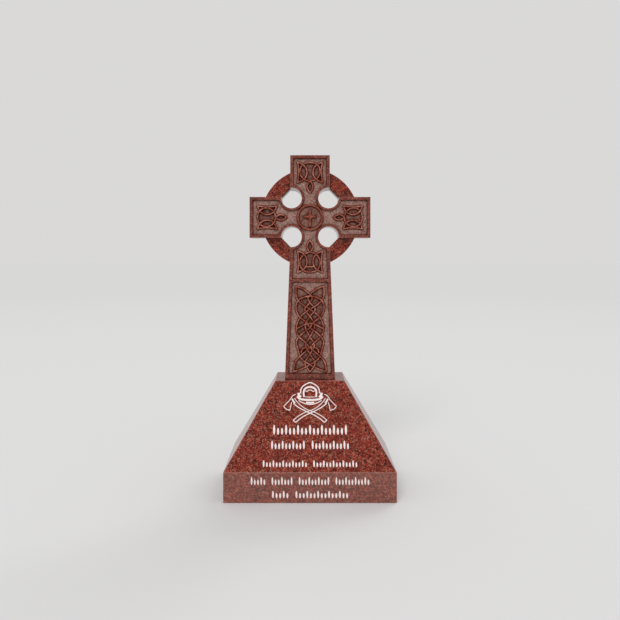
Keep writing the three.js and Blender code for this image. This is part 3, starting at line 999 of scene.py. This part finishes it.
def carved_granite(name, dull, bright, share, crevice, roughness):
    """Stone worked with tools or sand: the granite washed over with a tint that wanders between
    dull and bright, grainy, and darker in its corners by painted shade."""
    nodes = Nodes(name, CARVED_GLINT)
    wander = nodes.noise(*WASH_NOISE).outputs["Fac"]
    wash = nodes.ramp(wander, list(zip(WASH_TURNS, (srgb(*dull), srgb(*bright)))))
    colour = nodes.mix(share, granite_colour(nodes)[0], wash)
    colour, height = grainy(nodes, colour, CARVED_GRAINS)
    colour = painted_corner_shade(nodes, colour, *crevice)
    return nodes.finish(colour, roughness, height, CARVED_BUMP)


def painted_stone():
    """The whitening, a little worn and speckled."""
    nodes = Nodes("whitened_cuts")
    wear = nodes.noise(*WEAR_NOISE).outputs["Fac"]
    return nodes.finish(nodes.ramp(wear, WEAR), PAINT_ROUGHNESS, wear, PAINT_BUMP)


def dress(stone, node):
    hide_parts(node)
    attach(stone, "root")


# Studio

# The camera looks straight at the front and is level, with its frame shifted down
CAMERA_PLACE = (0.0, -2.804, 1.0975)
CAMERA_LENS = 34.48
CAMERA_RISE = -0.0924
SENSOR = 36.0

# The floor darkens a little on its way out, by stops that are shares of FLOOR_FADE
FLOOR_HALF = 60.0
FLOOR_FADE = 14.0
FLOOR_SHADES = [(0.1, (0.68, 0.68, 0.68)), (1.0, (0.635, 0.635, 0.635))]
FLOOR_GLINT = 0.0
FLOOR_ROUGHNESS = 0.6

# Each light's place, strength and spread in degrees
LIGHTS = {
    "key": ((-0.5, -1.85, 1.6), 1.33, 28),
    "rear": ((1.6, 2.0, 2.0), 0.6, 30),
}
WORLD_COLOUR = (1.0, 0.99, 0.985, 1)
WORLD_STRENGTH = 0.7


def make_floor():
    corners = [(sx * FLOOR_HALF, sy * FLOOR_HALF, 0) for sx, sy in QUARTERS]
    mesh = bpy.data.meshes.new("floor")
    mesh.from_pydata(corners, [], [(0, 1, 2, 3)])
    floor = bpy.data.objects.new("floor", mesh)
    bpy.context.scene.collection.objects.link(floor)
    nodes = Nodes("pale_floor", FLOOR_GLINT)
    away = nodes.vector_math("LENGTH", {0: nodes.place})["Value"]
    share = nodes.add("ShaderNodeMath", {0: away, 1: FLOOR_FADE}, operation="DIVIDE")
    colour = nodes.ramp(share.outputs[0], FLOOR_SHADES)
    mesh.materials.append(nodes.finish(colour, FLOOR_ROUGHNESS))


def sun_light(name, place, strength, spread):
    """A soft sun that shines from a place towards the origin."""
    data = bpy.data.lights.new(name, "SUN")
    data.energy = strength
    data.angle = math.radians(spread)
    light = bpy.data.objects.new(name, data)
    light.location = place
    light.rotation_euler = (-Vector(place)).to_track_quat("-Z", "Y").to_euler()
    bpy.context.scene.collection.objects.link(light)


def make_studio():
    world = bpy.data.worlds.new("studio")
    world.use_nodes = True
    background = world.node_tree.nodes["Background"]
    background.inputs["Color"].default_value = WORLD_COLOUR
    background.inputs["Strength"].default_value = WORLD_STRENGTH
    bpy.context.scene.world = world
    for name, settings in LIGHTS.items():
        sun_light(name, *settings)
    bpy.context.scene.view_settings.view_transform = "Standard"


def make_camera():
    data = bpy.data.cameras.new("camera")
    data.lens = CAMERA_LENS
    data.sensor_width = SENSOR
    data.shift_y = CAMERA_RISE
    camera = bpy.data.objects.new("camera", data)
    camera.location = CAMERA_PLACE
    camera.rotation_euler = (math.pi / 2, 0, 0)
    bpy.context.scene.collection.objects.link(camera)
    bpy.context.scene.camera = camera


# Each finish, in the order of the finishes' numbers: its name, its tints as display values, how far
# they cover the granite, and for carved stone its painted shade in corners and its roughness
FINISHES = [
    polished_granite("polished_red_granite"),
    polished_granite("polished_cross_face", (110, 80, 71), 0.3),
    carved_granite("frosted_panel", (143, 113, 103), (161, 131, 121), 0.82, PANEL_EDGE_SHADE, 0.85),
    # The knot ground's darker tints are painted shade
    carved_granite("knot_ground_painted_shade", (112, 82, 72), (136, 104, 94), 0.8, DEEP_RED_SHADE, 0.85),
    # The flanks' dark tints are painted shade, the crests' light tints a painted highlight
    carved_granite("flank_painted_shade", (84, 28, 19), (106, 46, 33), 0.6, DEEP_RED_SHADE, 0.55),
    carved_granite("crest_painted_highlight", (134, 70, 51), (178, 124, 108), 0.75, NARROW_SHADE, 0.45),
    # The boss's redder tone on its tops, beside flanks darkened as painted shade
    carved_granite("boss_top", (126, 62, 46), (148, 86, 70), 0.7, NARROW_SHADE, 0.35),
    honed_granite("honed_red_granite", (136, 101, 90), 0.3),
    # The eased edges' paler tint is a painted highlight
    honed_granite("eased_edges_highlight", (168, 120, 108), 0.4),
    painted_stone(),
]
make_camera()
dress(make_cross(), "cross")
dress(make_base(), "base")
make_floor()
make_studio()
